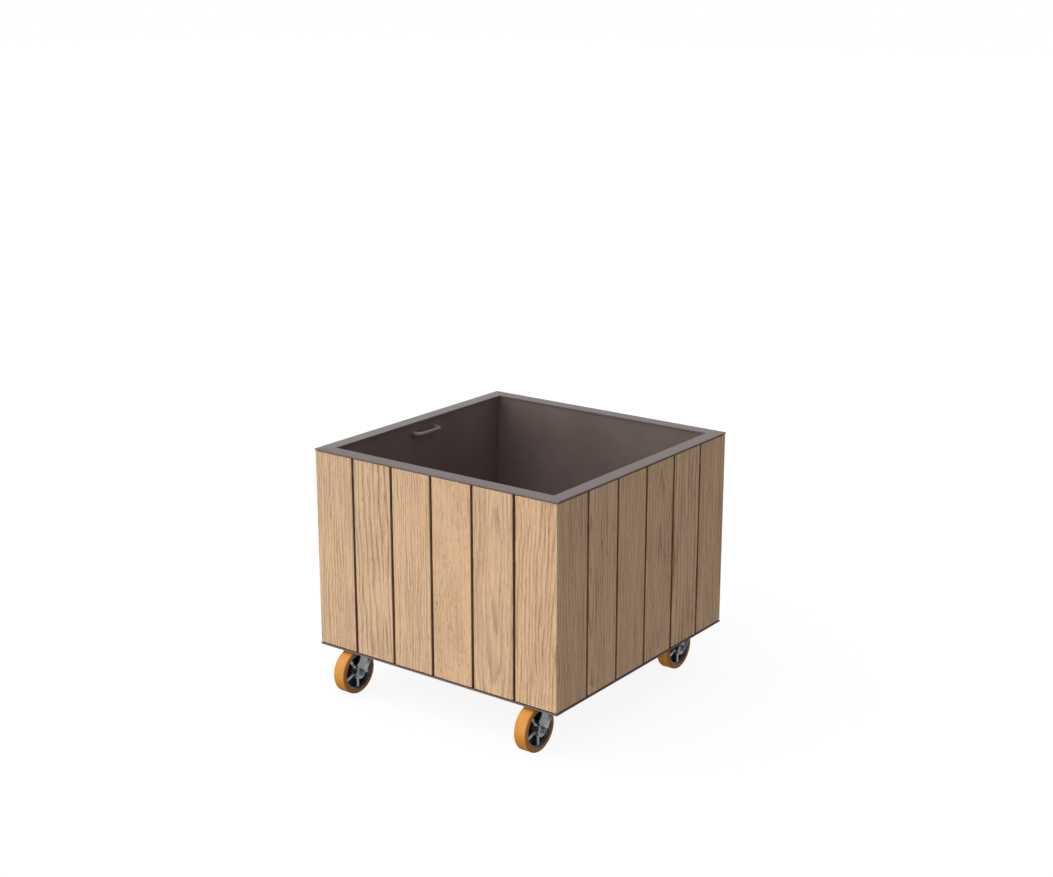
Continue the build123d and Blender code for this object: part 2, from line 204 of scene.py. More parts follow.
# How a plank was cut from the log: distance and depth of the log's centre, spacing of the
# year rings, and how strongly lines, flecks and broad clouds show.
FIGURES = {
    "straight": dict(centre=0.24, depth=0.05, rings=0.0085, lines=1.0, flecks=0.55, cloud=0.5),
    "broad": dict(centre=0.13, depth=0.02, rings=0.0170, lines=1.25, flecks=0.45, cloud=0.7),
    "cathedral": dict(centre=0.0, depth=0.008, rings=0.0125, lines=0.9, flecks=0.6, cloud=0.5),
    "half": dict(centre=0.052, depth=0.008, rings=0.0100, lines=1.15, flecks=0.6, cloud=0.6),
    "speckled": dict(centre=0.30, depth=0.08, rings=0.0120, lines=0.45, flecks=1.7, cloud=1.0),
}
FLAT_SAWN_CENTRE = 0.1
FLAT_SAWN_LEAN = (0.05, 0.10)
STRAIGHT_LEAN = (-0.04, 0.04)
LEAN_START = (0.20, 0.45)
CENTRE_SPREAD = (0.85, 1.15)
SPACING_SPREAD = (0.9, 1.1)
NOISE_SHIFT = 40

# Noises in the grain, which runs along Z: waves per metre on each axis, detail, roughness.
GRAIN_NOISES = {
    "wander": ((5.0, 5.0, 1.3), 3.0, 0.5),
    "ripple": ((24.0, 24.0, 9.0), 3.0, 0.6),
    "uneven": ((38.0, 38.0, 4.0), 2.0, 0.5),
    "shiver": ((30.0, 30.0, 17.0), 2.0, 0.5),
    "streaks": ((210.0, 210.0, 4.0), 3.0, 0.65),
    "flecks": ((400.0, 400.0, 52.0), 3.0, 0.65),
    "cloud": ((17.0, 17.0, 4.0), 3.0, 0.5),
    "fine": ((1000.0, 1000.0, 42.0), 2.0, 0.7),
    "blush": ((11.0, 11.0, 3.5), 2.0, 0.5),
}

# How far the noises push the rings and the fibres sideways, in metres, and the ring phase.
WANDER_REACH = 0.080
RIPPLE_REACH = 0.016
SHIVER_REACH = 0.005
UNEVEN_PHASE = 1.5

# Ranges of ring position or noise over which each feature fades in or out.
LATE_WOOD = (0.35, 0.92)
LATE_WOOD_END = (0.93, 1.0)
PORES = (0.56, 0.66)
EARLY_WOOD = (0.0, 0.5)
PORES_OUTSIDE_EARLY_WOOD = 0.35
DASHES = (0.585, 0.68)
SHINE = (0.42, 0.32)
BLUSH = (0.42, 0.62)

# What each feature adds to the tone, where 0 is dark oak and 1 is pale oak.
LATE_TONE = -0.48
STREAK_TONE = 2.0
DASH_TONE = -0.40
SHINE_TONE = 0.34
CLOUD_TONE = 1.2
BASE_TONE = 0.74
LINES_TONE = 0.17
TONE_SPREAD = 0.07
PORE_STRENGTH = 0.6
WARM_SPREAD = (0.95, 1.08)

# What each feature adds to the relief, as a part of its depth in metres.
OAK_RELIEF = 0.00035
PORE_RELIEF = -0.8
STREAK_RELIEF = 0.8
DASH_RELIEF = -0.5
LATE_RELIEF = 0.5


def grain_noise(tree, vector, offset, kind):
    """One of the named noises of the grain."""
    scale, detail, roughness = GRAIN_NOISES[kind]
    return long_noise(tree, vector, scale, offset, detail, roughness)


def year_rings(tree, place, axes, offset, rng, figure, across, middle):
    """Position inside the year ring, 0 to 1, for a log centre that leans along the plank."""
    wide = centred(tree, grain_noise(tree, place, offset, "wander"), WANDER_REACH)
    ripple = centred(tree, grain_noise(tree, place, offset, "ripple"), RIPPLE_REACH)
    if figure["centre"] < FLAT_SAWN_CENTRE:
        lean = rng.choice((-1, 1)) * rng.uniform(*FLAT_SAWN_LEAN)
    else:
        lean = rng.uniform(*STRAIGHT_LEAN)
    start = rng.uniform(*LEAN_START)
    centre = rng.choice((-1, 1)) * figure["centre"] * rng.uniform(*CENTRE_SPREAD)
    side = math_node(tree, "SUBTRACT", axes[across], middle + centre)
    u = math_node(tree, "ADD", side, math_node(tree, "ADD", wide, ripple))
    rise = math_node(tree, "SUBTRACT", axes[2], start)
    v = math_node(tree, "MULTIPLY_ADD", rise, lean, figure["depth"])
    squares = math_node(tree, "MULTIPLY_ADD", u, u, math_node(tree, "MULTIPLY", v, v))
    radius = math_node(tree, "SQRT", squares)
    uneven = grain_noise(tree, place, offset, "uneven")
    uneven = math_node(tree, "MULTIPLY", uneven, UNEVEN_PHASE)
    spacing = figure["rings"] * rng.uniform(*SPACING_SPREAD)
    return math_node(tree, "FRACT", math_node(tree, "MULTIPLY_ADD", radius, 1.0 / spacing, uneven))


def grain_masks(tree, place, ring, offset):
    """Late wood, pores, dark dashes, pale flecks and long streaks of the grain."""
    late = remap(tree, ring, *LATE_WOOD, smooth=True)
    late = math_node(tree, "MULTIPLY", late, remap(tree, ring, *LATE_WOOD_END, 1.0, 0.0))
    shift = centred(tree, grain_noise(tree, place, offset, "shiver"), SHIVER_REACH)
    drift = add(tree, "ShaderNodeCombineXYZ", {0: shift, 1: shift, 2: 0.0}).outputs[0]
    bent = add(tree, "ShaderNodeVectorMath", {0: place, 1: drift}, operation="ADD").outputs[0]
    streaks = grain_noise(tree, bent, offset, "streaks")
    flecks = grain_noise(tree, bent, offset, "flecks")
    pores = remap(tree, grain_noise(tree, bent, offset, "fine"), *PORES)
    fewer = remap(tree, ring, *EARLY_WOOD, 1.0, PORES_OUTSIDE_EARLY_WOOD)
    pores = math_node(tree, "MULTIPLY", pores, fewer)
    return late, pores, remap(tree, flecks, *DASHES), remap(tree, flecks, *SHINE), streaks


def groove_shade(tree, place_across, low, high):
    """Mask for the long sides of a plank that face another plank, painted dark as the shade in the
    gap.
    """
    distances = []
    if low > -MITRE_START:
        distances.append(math_node(tree, "SUBTRACT", place_across, low))
    if high < MITRE_START:
        distances.append(math_node(tree, "SUBTRACT", high, place_across))
    nearest = distances[0]
    if len(distances) == 2:
        nearest = math_node(tree, "MINIMUM", *distances)
    return remap(tree, nearest, *GROOVE_EDGE, GROOVE_SHADE_STRENGTH, 0.0)


def oak(name, seed, across, low, high, figure):
    """Oiled oak with its grain along Z; across is the axis that runs over the plank's width."""
    rng = random.Random(seed)
    material, tree, shader = new_material(name)
    place = object_place(tree)
    axes = split(tree, place)
    offset = tuple(rng.uniform(-NOISE_SHIFT, NOISE_SHIFT) for _ in range(3))
    ring = year_rings(tree, place, axes, offset, rng, figure, across, (low + high) / 2)
    late, pores, dashes, shine, streaks = grain_masks(tree, place, ring, offset)
    cloud = grain_noise(tree, place, offset, "cloud")

    tone = math_node(tree, "MULTIPLY", late, LATE_TONE * figure["lines"])
    tone = math_node(tree, "ADD", tone, centred(tree, streaks, STREAK_TONE * figure["lines"]))
    tone = math_node(tree, "MULTIPLY_ADD", dashes, DASH_TONE * figure["flecks"], tone)
    tone = math_node(tree, "MULTIPLY_ADD", shine, SHINE_TONE * figure["flecks"], tone)
    tone = math_node(tree, "ADD", tone, centred(tree, cloud, CLOUD_TONE * figure["cloud"]))
    plank_tone = BASE_TONE + LINES_TONE * figure["lines"] + rng.uniform(-TONE_SPREAD, TONE_SPREAD)
    tone = math_node(tree, "ADD", tone, plank_tone)

    colour = ramp(tree, tone, (0.0, OAK_DARK), (0.5, OAK_MIDDLE), (1.0, OAK_PALE))
    colour = mix_colour(tree, math_node(tree, "MULTIPLY", pores, PORE_STRENGTH), colour, OAK_PORE)
    blush = remap(tree, grain_noise(tree, place, offset, "blush"), *BLUSH)
    colour = mix_colour(tree, blush, colour, OAK_BLUSH, "MULTIPLY")
    warm = rng.uniform(*WARM_SPREAD)
    colour = mix_colour(tree, 1.0, colour, (1.0, warm ** 0.5, warm), "MULTIPLY")
    # Sides that face another plank get painted shade.
    colour = mix_colour(tree, groove_shade(tree, axes[across], low, high), colour, OAK_GROOVE_SHADE)

    height = math_node(tree, "MULTIPLY", streaks, STREAK_RELIEF)
    height = math_node(tree, "MULTIPLY_ADD", pores, PORE_RELIEF, height)
    height = math_node(tree, "MULTIPLY_ADD", dashes, DASH_RELIEF, height)
    height = math_node(tree, "MULTIPLY_ADD", late, LATE_RELIEF, height)
    roughness = remap(tree, streaks, NOISE_LOW, NOISE_HIGH, *OAK_ROUGHNESS)
    dress(tree, shader, colour, roughness, height, OAK_RELIEF)
    shader.inputs["Specular IOR Level"].default_value = OAK_SPECULAR
    return material


# --- Powder coat -----------------------------------------------------------------------------

COAT_BROWN = (0.125, 0.092, 0.083)
# The tub and the other coated steel carry the same brown painted lighter, standing in for light
# inside the tub.
COAT_BROWN_TUB_PAINTED_LIGHT = (0.150, 0.112, 0.101)
# The handles carry the same brown painted lighter as a highlight.
COAT_BROWN_HANDLE_HIGHLIGHT = (0.200, 0.155, 0.140)
COAT_BLACK = (0.062, 0.052, 0.047)
COAT_DUST = (0.30, 0.27, 0.24)
COAT_RUBBED = (0.26, 0.23, 0.21)
# Colour of the painted highlight on the rim's left arm.
COAT_LEFT_RIM_HIGHLIGHT = (0.30, 0.285, 0.275)
COAT_RELIEF = 0.00012
COAT_FADING = 1.13
COAT_FADING_LIFT = 0.003
COAT_DEEPENING = 0.90
COAT_ROUGHNESS_SWING = 0.06

# Noises of the coat: waves per metre, detail, roughness; then where specks and rubs show.
COAT_CLOUD = (6.0, 4.0, 0.6)
COAT_SPECK = (420.0, 2.0, 0.5)
COAT_GRAIN = (1300.0, 2.0, 0.5)
COAT_SCRATCH_SCALE = (9.0, 160.0, 90.0)
COAT_SCRATCH_DETAIL = 4.0
COAT_SCRATCH_ROUGHNESS = 0.75
SPECKS = (0.62, 0.75)
RUBS = (0.66, 0.74)
RUB_STRENGTH = 0.25
RIM_SHEEN = 0.21
RIM_SHEEN_ROUGHNESS = 0.45
LEFT_RIM_HIGHLIGHT_STRENGTH = 0.20
MITRE_SEAM_HALF = 0.0008


def powder_coat(name, colour, dust=0.12, sheen=0.0, rough=0.44):
    """Fine-textured matt powder coat with fading and dust; sheen adds a sheen lobe and a painted
    highlight on the rim's left arm.
    """
    material, tree, shader = new_material(name)
    place = object_place(tree)
    cloud = noise(tree, place, *COAT_CLOUD)
    speck = noise(tree, place, *COAT_SPECK)
    grain = noise(tree, place, *COAT_GRAIN)
    scratch = long_noise(
        tree, place, COAT_SCRATCH_SCALE, NO_OFFSET, COAT_SCRATCH_DETAIL, COAT_SCRATCH_ROUGHNESS
    )
    deep = darker(colour, COAT_DEEPENING)
    faded = tuple(part * COAT_FADING + COAT_FADING_LIFT for part in colour)
    base = ramp(tree, cloud, (NOISE_LOW, deep), (NOISE_HIGH, faded))
    base = mix_colour(tree, remap(tree, speck, *SPECKS, 0.0, dust), base, COAT_DUST)
    base = mix_colour(tree, remap(tree, scratch, *RUBS, 0.0, RUB_STRENGTH), base, COAT_RUBBED)
    if sheen:
        # The left arm of the rim, out to its mitred ends, is painted lighter as a highlight.
        axes = split(tree, place)
        beyond = math_node(tree, "ADD", axes[0], math_node(tree, "ABSOLUTE", axes[1]))
        left_rim_highlight = remap(tree, beyond, MITRE_SEAM_HALF, -MITRE_SEAM_HALF, 0.0, LEFT_RIM_HIGHLIGHT_STRENGTH)
        base = mix_colour(tree, left_rim_highlight, base, COAT_LEFT_RIM_HIGHLIGHT)
        shader.inputs["Sheen Weight"].default_value = sheen
        shader.inputs["Sheen Roughness"].default_value = RIM_SHEEN_ROUGHNESS
    smoother, rougher = rough - COAT_ROUGHNESS_SWING, rough + COAT_ROUGHNESS_SWING
    roughness = remap(tree, cloud, NOISE_LOW, NOISE_HIGH, smoother, rougher)
    height = math_node(tree, "MULTIPLY_ADD", speck, 0.5, grain)
    dress(tree, shader, base, roughness, height, COAT_RELIEF)
    return material


# --- Metals ----------------------------------------------------------------------------------

ZINC = (0.90, 0.91, 0.94)
ZINC_DULL = (0.44, 0.45, 0.47)
BEARING_STEEL = (0.45, 0.46, 0.48)
METAL_SPOT = grey(0.16)
METAL_SPOT_STRENGTH = 0.15
METAL_RELIEF = 0.00008
METAL_CLOUD = (45.0, 4.0, 0.6)
METAL_SCRATCH = (480.0, 4.0, 0.7)
METAL_DULL = (160.0, 3.0, 0.5)
METAL_DULL_RANGE = (0.55, 0.75)
METAL_CLOUD_LOW = 0.25
METAL_CLOUD_HIGH = 0.75
METAL_DEEPENING = 0.72
METAL_SMOOTHEST = 0.8
METAL_ROUGHEST = 1.35

HUB_DARK = (0.76, 0.78, 0.81)
HUB_BRIGHT = (0.93, 0.94, 0.96)
# Painted blue-grey reflection on the rim lip, beyond this radius.
HUB_LIP_REFLECTION = (0.27, 0.33, 0.42)
HUB_LIP_REFLECTION_EDGE = (0.0445, 0.0455)
# Painted shade in the pockets: near black close to the wheel's middle plane, giving way to the
# machined face over this distance range.
HUB_POCKET_SHADE_DARK = grey(0.012)
HUB_POCKET_SHADE_PALE = (0.045, 0.047, 0.052)
HUB_SHADE_TO_MACHINED = (0.0085, 0.0130)
HUB_SKIN_METALLIC = 0.25
HUB_ROUGHNESS = (0.62, 0.30)
HUB_ROUGHNESS_SWING = 0.2
HUB_RELIEF = 0.00018
HUB_CLOUD = (60.0, 4.0, 0.6)
HUB_SAND = (700.0, 3.0, 0.7)


def metal(name, colour, rough):
    """Bare or plated metal with cloudy tone, fine scratches and dull spots."""
    material, tree, shader = new_material(name)
    place = object_place(tree)
    cloud = noise(tree, place, *METAL_CLOUD)
    scratch = noise(tree, place, *METAL_SCRATCH)
    dull = remap(tree, noise(tree, place, *METAL_DULL), *METAL_DULL_RANGE)
    spots = math_node(tree, "MULTIPLY", dull, METAL_SPOT_STRENGTH)
    deep = darker(colour, METAL_DEEPENING)
    base = ramp(tree, cloud, (METAL_CLOUD_LOW, deep), (METAL_CLOUD_HIGH, colour))
    base = mix_colour(tree, spots, base, METAL_SPOT)
    smoothest, roughest = rough * METAL_SMOOTHEST, rough * METAL_ROUGHEST
    roughness = remap(tree, scratch, NOISE_LOW, NOISE_HIGH, smoothest, roughest)
    dress(tree, shader, base, roughness, scratch, METAL_RELIEF)
    shader.inputs["Metallic"].default_value = 1.0
    return material


def hub_casting(name):
    """Die-cast wheel: machined boss and ribs, pockets painted near black as shade, and a blue-grey
    painted reflection on the rim lip.
    """
    material, tree, shader = new_material(name)
    place = object_place(tree)
    axes = split(tree, place)
    sideways = math_node(tree, "SUBTRACT", math_node(tree, "ABSOLUTE", axes[0]), WHEEL_X)
    depth = math_node(tree, "ABSOLUTE", sideways)
    along = math_node(tree, "ABSOLUTE", math_node(tree, "ADD", axes[1], TRAIL))
    along = math_node(tree, "SUBTRACT", along, SWIVEL_Y)
    up = math_node(tree, "SUBTRACT", axes[2], WHEEL_R)
    squares = math_node(tree, "MULTIPLY_ADD", along, along, math_node(tree, "MULTIPLY", up, up))
    radius = math_node(tree, "SQRT", squares)
    cloud = noise(tree, place, *HUB_CLOUD)
    sand = noise(tree, place, *HUB_SAND)
    face = ramp(tree, cloud, (NOISE_LOW, HUB_DARK), (NOISE_HIGH, HUB_BRIGHT))
    # Painted reflection on the rim lip.
    face = mix_colour(tree, remap(tree, radius, *HUB_LIP_REFLECTION_EDGE), face, HUB_LIP_REFLECTION)
    # Pockets near the wheel's middle plane are painted near black as shade; the face outside them is
    # bare machined metal.
    machined_unshaded = remap(tree, depth, *HUB_SHADE_TO_MACHINED, smooth=True)
    pocket_shade = ramp(tree, sand, (NOISE_LOW, HUB_POCKET_SHADE_DARK), (NOISE_HIGH, HUB_POCKET_SHADE_PALE))
    base = mix_colour(tree, machined_unshaded, pocket_shade, face)
    rough = remap(tree, machined_unshaded, 0.0, 1.0, *HUB_ROUGHNESS)
    rough = math_node(tree, "ADD", rough, centred(tree, cloud, HUB_ROUGHNESS_SWING))
    dress(tree, shader, base, rough, sand, HUB_RELIEF)
    metallic = remap(tree, machined_unshaded, 0.0, 1.0, HUB_SKIN_METALLIC, 1.0)
    tree.links.new(metallic, shader.inputs["Metallic"])
    return material


# --- Tyre ------------------------------------------------------------------------------------

TYRE_DARK = (0.545, 0.217, 0.023)
TYRE_PALE = (0.655, 0.273, 0.039)
# The tyre's sides are painted darker as shade.
TYRE_SIDE_SHADE = (0.30, 0.115, 0.022)
TYRE_SCUFF = (0.33, 0.17, 0.07)
TYRE_SIDE_FROM = (0.0135, 0.0185)
TYRE_SIDE_SHADE_STRENGTH = 0.45
TYRE_SCUFF_STRENGTH = 0.30
TYRE_ROUGHNESS = (0.40, 0.62)
TYRE_SPECULAR = 0.28
TYRE_RELIEF = 0.0002
TYRE_CLOUD = (30.0, 3.0, 0.6)
TYRE_SCUFF_SCALE = (60.0, 240.0, 240.0)
TYRE_SCUFF_DETAIL = 4.0
TYRE_SCUFF_FINENESS = 0.7
TYRE_SCUFF_RANGE = (0.58, 0.72)


def polyurethane(name):
    """Cast orange tyre rubber, slightly glossy, with scuffs and sides painted darker as shade."""
    material, tree, shader = new_material(name)
    place = object_place(tree)
    cloud = noise(tree, place, *TYRE_CLOUD)
    scuff = long_noise(
        tree, place, TYRE_SCUFF_SCALE, NO_OFFSET, TYRE_SCUFF_DETAIL, TYRE_SCUFF_FINENESS
    )
    scuff = remap(tree, scuff, *TYRE_SCUFF_RANGE)
    sideways = math_node(tree, "ABSOLUTE", split(tree, place)[0])
    across = math_node(tree, "ABSOLUTE", math_node(tree, "SUBTRACT", sideways, WHEEL_X))
    # Sides painted darker as shade.
    side_shade = remap(tree, across, *TYRE_SIDE_FROM, 0.0, TYRE_SIDE_SHADE_STRENGTH, smooth=True)
    base = ramp(tree, cloud, (NOISE_LOW, TYRE_DARK), (NOISE_HIGH, TYRE_PALE))
    base = mix_colour(tree, side_shade, base, TYRE_SIDE_SHADE)
    scuffed = math_node(tree, "MULTIPLY", scuff, TYRE_SCUFF_STRENGTH)
    base = mix_colour(tree, scuffed, base, TYRE_SCUFF)
    dress(tree, shader, base, remap(tree, scuff, 0.0, 1.0, *TYRE_ROUGHNESS), cloud, TYRE_RELIEF)
    shader.inputs["Specular IOR Level"].default_value = TYRE_SPECULAR
    return material


# --- Put materials on the CAD pieces ---------------------------------------------------------

def paint(obj, material):
    """Gives a piece its material."""
    obj.data.materials.clear()
    obj.data.materials.append(material)


PLANK_FIGURES = {
    "front": ("straight", "broad", "straight", "speckled", "cathedral", "half"),
    "right": ("straight", "half", "straight", "cathedral", "broad", "straight"),
    "back": ("broad", "straight", "cathedral", "straight", "speckled", "half"),
    "left": ("straight", "cathedral", "speckled", "straight", "broad", "straight"),
}

# Coat painted lighter for the light inside the tub.
coat = powder_coat("coat_box", COAT_BROWN_TUB_PAINTED_LIGHT)
rim_coat = powder_coat("coat_rim", COAT_BROWN, sheen=RIM_SHEEN)
# The handles' coat is painted lighter as a highlight.
handle_coat_highlight = powder_coat("coat_handle_highlight", COAT_BROWN_HANDLE_HIGHLIGHT, dust=0.05, rough=0.30)
primer = powder_coat("black_primer", COAT_BLACK, dust=0.05)
zinc = metal("zinc_plate", ZINC, 0.20)
dark_zinc = metal("fastener_zinc", ZINC_DULL, 0.36)
tyre_rubber = polyurethane("orange_tyre")

SLOT_MATERIALS = {
    "coated_steel": coat,
    "zinc_steel": zinc,
    "cast_aluminium": hub_casting("cast_aluminium"),
    "bearing_steel": metal("bearing_steel", BEARING_STEEL, 0.25),
    "orange_tyre": tyre_rubber,
}

# Pieces whose finish differs from the rest of their slot
OWN_MATERIALS = {
    "rim_flange": rim_coat,
    "cladding_frame": primer,
    "lifting_handle_left": handle_coat_highlight,
    "lifting_handle_right": handle_coat_highlight,
    "caster_kingpins": dark_zinc,
    "caster_bolts": dark_zinc,
    "plank_screws": dark_zinc,
}
for corner_name in CORNERS:
    OWN_MATERIALS[f"axle_bolt_{corner_name}"] = dark_zinc

for entry in frame["record"]["subparts"]:
    node_name, slot_name = entry["node"], entry["material_slot"]
    if slot_name != "oak":
        finish = OWN_MATERIALS.get(node_name, SLOT_MATERIALS[slot_name])
        paint(frame["nodes"][node_name], finish)

for side_number, side_name in enumerate(SIDES):
    axis = 0 if side_name in ("front", "back") else 1
    for number in range(1, PLANKS_PER_SIDE + 1):
        node_name = f"plank_{side_name}_{number}"
        low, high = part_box(node_name)
        figure = FIGURES[PLANK_FIGURES[side_name][number - 1]]
        seed = 100 * side_number + number
        grain = oak(f"oak_{side_name}_{number}", seed, axis, low[axis], high[axis], figure)
        paint(frame["nodes"][node_name], grain)


# --- Edge breaks on the cast and pressed pieces ----------------------------------------------

EDGE_BREAKS = {"caster_fork": 0.0006, "wheel_hub": 0.0005, "axle_bolt": 0.0004}
SHARP_EDGE = math.radians(40)


def break_edges(node_name, width):
    """Small rounding on the hard edges of a CAD piece."""
    bevel = frame["nodes"][node_name].modifiers.new("edge_break", "BEVEL")
    bevel.width = width
    bevel.segments = 2
    bevel.limit_method = "ANGLE"
    bevel.angle_limit = SHARP_EDGE
    bevel.harden_normals = True


for corner_name in CORNERS:
    for kind, edge_width in EDGE_BREAKS.items():
        break_edges(f"{kind}_{corner_name}", edge_width)


# --- Mesh code for welds and turned rings ----------------------------------------------------

# A weld's radius swells and shrinks over each pitch, drawn in a few steps, and is uneven.
WELD_STEPS = 4
WELD_RIPPLE = 0.10
WELD_UNEVEN = 0.03
WELD_END = 0.6
WELD_SIDES = 8
WELD_FEWEST_RINGS = 8


def mesh_piece(name, parts, material, body):
    """Mesh joined from (vertices, faces) parts, smooth shaded, riding on a CAD body."""
    verts, faces = [], []
    for more_verts, more_faces in parts:
        base = len(verts)
        verts.extend(more_verts)
        faces.extend(tuple(base + index for index in face) for face in more_faces)
    mesh = bpy.data.meshes.new(name)
    mesh.from_pydata(verts, [], faces)
    mesh.polygons.foreach_set("use_smooth", [True] * len(mesh.polygons))
    mesh.materials.append(material)
    mesh.update()
    obj = bpy.data.objects.new(name, mesh)
    bpy.context.scene.collection.objects.link(obj)
    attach(obj, body)
    return obj


def tube(points, radii, normal, sides, closed):
    """Vertices and faces of a tube; the ring at each point stands square to the path."""
    verts, faces = [], []
    count = len(points)
    for index, (point, radius) in enumerate(zip(points, radii)):
        ahead = points[(index + 1) % count] if closed or index + 1 < count else point
        behind = points[index - 1] if closed or index else point
        along = (ahead - behind).normalized()
        out = (normal[index] - along * normal[index].dot(along)).normalized()
        other = along.cross(out)
        for step in range(sides):
            turn = 2 * math.pi * step / sides
            verts.append(point + radius * (out * math.cos(turn) + other * math.sin(turn)))
    for index in range(count if closed else count - 1):
        near, far = index * sides, (index + 1) % count * sides
        for step in range(sides):
            ahead = (step + 1) % sides
            faces.append((near + step, near + ahead, far + ahead, far + step))
    if not closed:
        faces.append(tuple(reversed(range(sides))))
        faces.append(tuple(range((count - 1) * sides, count * sides)))
    return verts, faces


def weld_radii(length, count, radius, pitch, rng):
    """Radius along a weld: overlapping ripples of slightly uneven size."""
    radii = []
    for index in range(count):
        where = length * index / max(count - 1, 1) / pitch
        ripple = WELD_RIPPLE * (where % 1.0 - 0.5)
        radii.append(radius * (1.0 + ripple + rng.uniform(-WELD_UNEVEN, WELD_UNEVEN)))
    return radii


def weld_line(start, end, radius, rng, pitch, sides=WELD_SIDES):
    """Fillet weld along a straight inside corner."""
    start, end = Vector(start), Vector(end)
    length = (end - start).length
    count = max(int(length / (pitch / WELD_STEPS)), WELD_FEWEST_RINGS)
    points = [start.lerp(end, index / (count - 1)) for index in range(count)]
    radii = weld_radii(length, count, radius, pitch, rng)
    radii[0] *= WELD_END
    radii[-1] *= WELD_END
    upright = abs((end - start).normalized().z) >= 0.5
    side = Vector((1, 0, 0)) if upright else Vector((0, 0, 1))
    return tube(points, radii, [side] * count, sides, False)


def weld_ring(centre, ring_radius, radius, rng, pitch):
    """Weld round a bar that stands on a wall facing along X."""
    length = 2 * math.pi * ring_radius
    count = int(length / (pitch / WELD_STEPS))
    points, normals = [], []
    for index in range(count):
        turn = 2 * math.pi * index / count
        out = Vector((0, math.cos(turn), math.sin(turn)))
        points.append(Vector(centre) + ring_radius * out)
        normals.append(out)
    radii = weld_radii(length, count, radius, pitch, rng)
    return tube(points, radii, normals, WELD_SIDES, True)


def turned(profile, centre, segments, sign):
    """Ring turned about X from a closed profile of (distance from the middle plane, radius)."""
    verts, faces = [], []
    count = len(profile)
    for index in range(segments):
        turn = 2 * math.pi * index / segments
        for out, radius in profile:
            place = (sign * out, radius * math.cos(turn), radius * math.sin(turn))
            verts.append(Vector(centre) + Vector(place))
    for index in range(segments):
        near, far = index * count, (index + 1) % segments * count
        for step in range(count):
            ahead = (step + 1) % count
            face = (near + step, far + step, far + ahead, near + ahead)
            faces.append(face if sign > 0 else tuple(reversed(face)))
    return verts, faces


def ring_pair(section, face_distance, centre, segments):
    """A turned ring on both sides of a caster; the section is (height over the face, radius)."""
    profile = [(face_distance + height, radius) for height, radius in section]
    return [turned(profile, centre, segments, sign) for sign in (-1, 1)]


# --- Welds of the tub, the handles and the chassis rails -------------------------------------

WELD_RNG = random.Random(41)
TUB_WELD_RADIUS = 0.0022
CORNER_WELD_PITCH = 0.0035
FLOOR_WELD_PITCH = 0.005
FLOOR_WELD_SIDES = 6
HANDLE_WELD_RADIUS = 0.0019
HANDLE_WELD_PITCH = 0.003
HANDLE_WELD_SINK = 0.0004
HANDLE_WELD_SPREAD = 0.0006
STITCH_RADIUS = 0.0024
STITCH_PITCH = 0.0035
STITCH_HALF = 0.02
STITCH_MIDDLES = (-0.32, -0.16, 0.0, 0.16, 0.32)

floor_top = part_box("tub_floor")[1].z
wall_low, wall_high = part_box("tub_wall_right")
inner = wall_low.x

seams = []
for x_sign, y_sign in ((-1, -1), (1, -1), (1, 1), (-1, 1)):
    foot = (x_sign * inner, y_sign * inner, floor_top)
    head = (x_sign * inner, y_sign * inner, wall_high.z)
    seams.append(weld_line(foot, head, TUB_WELD_RADIUS, WELD_RNG, CORNER_WELD_PITCH))
mesh_piece("tub_corner_welds", seams, coat, "planter_body")

seams = []
for axis in (0, 1):
    for sign in (-1, 1):
        ends = []
        for end in (-1, 1):
            place = [0.0, 0.0, floor_top]
            place[axis] = sign * inner
            place[1 - axis] = end * inner
            ends.append(place)
        seam = weld_line(*ends, TUB_WELD_RADIUS, WELD_RNG, FLOOR_WELD_PITCH, FLOOR_WELD_SIDES)
        seams.append(seam)
mesh_piece("tub_floor_welds", seams, coat, "planter_body")

for handle_side, x_sign in (("left", -1), ("right", 1)):
    low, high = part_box(f"lifting_handle_{handle_side}")
    bar = (high.z - low.z) / 2
    ring = bar + HANDLE_WELD_SPREAD
    feet = []
    for foot_y in (low.y + bar, high.y - bar):
        foot = (x_sign * (inner - HANDLE_WELD_SINK), foot_y, low.z + bar)
        feet.append(weld_ring(foot, ring, HANDLE_WELD_RADIUS, WELD_RNG, HANDLE_WELD_PITCH))
    mesh_piece(f"handle_welds_{handle_side}", feet, coat, "planter_body")

seams = []
for rail_side in ("left", "right"):
    low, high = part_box(f"chassis_rail_{rail_side}")
    for x in (low.x, high.x):
        for middle_y in STITCH_MIDDLES:
            ends = [(x, middle_y + half, high.z) for half in (-STITCH_HALF, STITCH_HALF)]
            seams.append(weld_line(*ends, STITCH_RADIUS, WELD_RNG, STITCH_PITCH))
mesh_piece("chassis_stitch_welds", seams, coat, "planter_body")


# --- Ribs on the tyre sides and washers at the axle ------------------------------------------

RIB_SEGMENTS = 96
RIB_SECTION = (
    (-0.0008, 0.0530),
    (0.0002, 0.0534),
    (0.0006, 0.0541),
    (0.0006, 0.0549),
    (0.0002, 0.0556),
    (-0.0008, 0.0560),
)
WASHER_SEGMENTS = 48
WASHER_SECTION = (
    (-0.0004, 0.0062),
    (-0.0004, 0.0124),
    (0.0009, 0.0124),
    (0.0014, 0.0119),
    (0.0014, 0.0062),
)

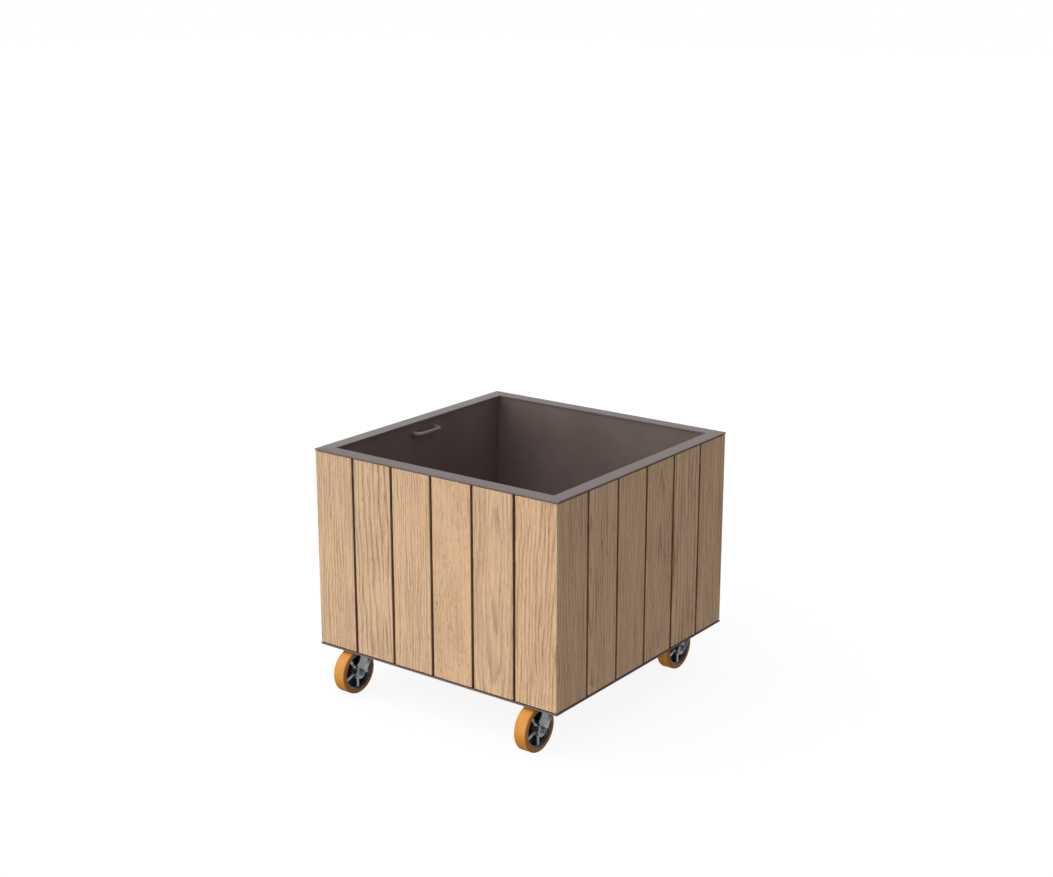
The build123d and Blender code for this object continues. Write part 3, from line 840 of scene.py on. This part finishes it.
for corner_name in CORNERS:
    low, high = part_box(f"wheel_tyre_{corner_name}")
    centre = (low + high) / 2
    ribs = ring_pair(RIB_SECTION, (high.x - low.x) / 2, centre, RIB_SEGMENTS)
    rib_name = f"tyre_side_ribs_{corner_name}"
    mesh_piece(rib_name, ribs, tyre_rubber, f"wheel_{corner_name}")
    rings = ring_pair(WASHER_SECTION, FORK_OUTER_HALF, centre, WASHER_SEGMENTS)
    washer_name = f"axle_washers_{corner_name}"
    washers = mesh_piece(washer_name, rings, zinc, f"fork_{corner_name}")
    for polygon in washers.data.polygons:
        polygon.use_smooth = False


# --- Floor, backdrop, light and camera -------------------------------------------------------

def stage_piece(name, verts, faces, material_name, colour, glow):
    """Plain glowing piece outside the object, hidden from diffuse and glossy rays."""
    mesh = bpy.data.meshes.new(name)
    mesh.from_pydata(verts, [], faces)
    piece = bpy.data.objects.new(name, mesh)
    bpy.context.scene.collection.objects.link(piece)
    material, _, shader = new_material(material_name)
    shader.inputs["Base Color"].default_value = (*colour, 1)
    shader.inputs["Roughness"].default_value = 1.0
    shader.inputs["Specular IOR Level"].default_value = 0.0
    shader.inputs["Emission Color"].default_value = WHITE
    shader.inputs["Emission Strength"].default_value = glow
    mesh.materials.append(material)
    piece.visible_diffuse = False
    piece.visible_glossy = False
    return piece


def square(half):
    """Corners of a level square round the origin."""
    return [(-half, -half), (half, -half), (half, half), (-half, half)]


def make_floor():
    """Large pale floor; its glow keeps the shadow light."""
    verts = [(x, y, 0.0) for x, y in square(FLOOR_HALF)]
    stage_piece("floor", verts, [(0, 1, 2, 3)], "pale_floor", grey(FLOOR_DIFFUSE), FLOOR_GLOW)


def make_backdrop():
    """White wall just inside the floor's edge; it only fills the view and lights nothing."""
    verts = [(x, y, z) for z in (0.0, WALL_HALF) for x, y in square(WALL_HALF)]
    faces = [(side, (side + 1) % 4, (side + 1) % 4 + 4, side + 4) for side in range(4)]
    wall = stage_piece("backdrop", verts, faces, "backdrop_white", grey(0.0), WALL_GLOW)
    wall.visible_transmission = False
    wall.visible_shadow = False


def make_light():
    """Pale surroundings, brighter overhead, and one large soft key light from the front left."""
    world = bpy.data.worlds.new("studio")
    bpy.context.scene.world = world
    world.use_nodes = True
    tree = world.node_tree
    background = tree.nodes["Background"]
    background.inputs["Color"].default_value = WHITE
    height = split(tree, add(tree, "ShaderNodeTexCoord").outputs["Generated"])[2]
    strength = remap(tree, height, -1.0, 1.0, SKY_LOW, SKY_HIGH)
    tree.links.new(strength, background.inputs["Strength"])
    lamp = bpy.data.lights.new("key", "SUN")
    lamp.energy = KEY_STRENGTH
    lamp.angle = KEY_SOFTNESS
    key = bpy.data.objects.new("key", lamp)
    key.rotation_euler = Vector(KEY_FROM).to_track_quat("Z", "Y").to_euler()
    bpy.context.scene.collection.objects.link(key)


def make_camera():
    """Camera at the chosen azimuth and elevation."""
    data = bpy.data.cameras.new("camera")
    data.sensor_width = CAMERA_SENSOR
    data.lens = CAMERA_LENS
    camera = bpy.data.objects.new("camera", data)
    bpy.context.scene.collection.objects.link(camera)
    azimuth = math.radians(CAMERA_AZIMUTH)
    elevation = math.radians(CAMERA_ELEVATION)
    back = Vector((
        math.sin(azimuth) * math.cos(elevation),
        -math.cos(azimuth) * math.cos(elevation),
        math.sin(elevation),
    ))
    camera.location = CAMERA_PLACE
    camera.rotation_euler = back.to_track_quat("Z", "Y").to_euler()
    bpy.context.scene.camera = camera


make_floor()
make_backdrop()
make_light()
make_camera()
bpy.context.scene.view_settings.view_transform = "Standard"
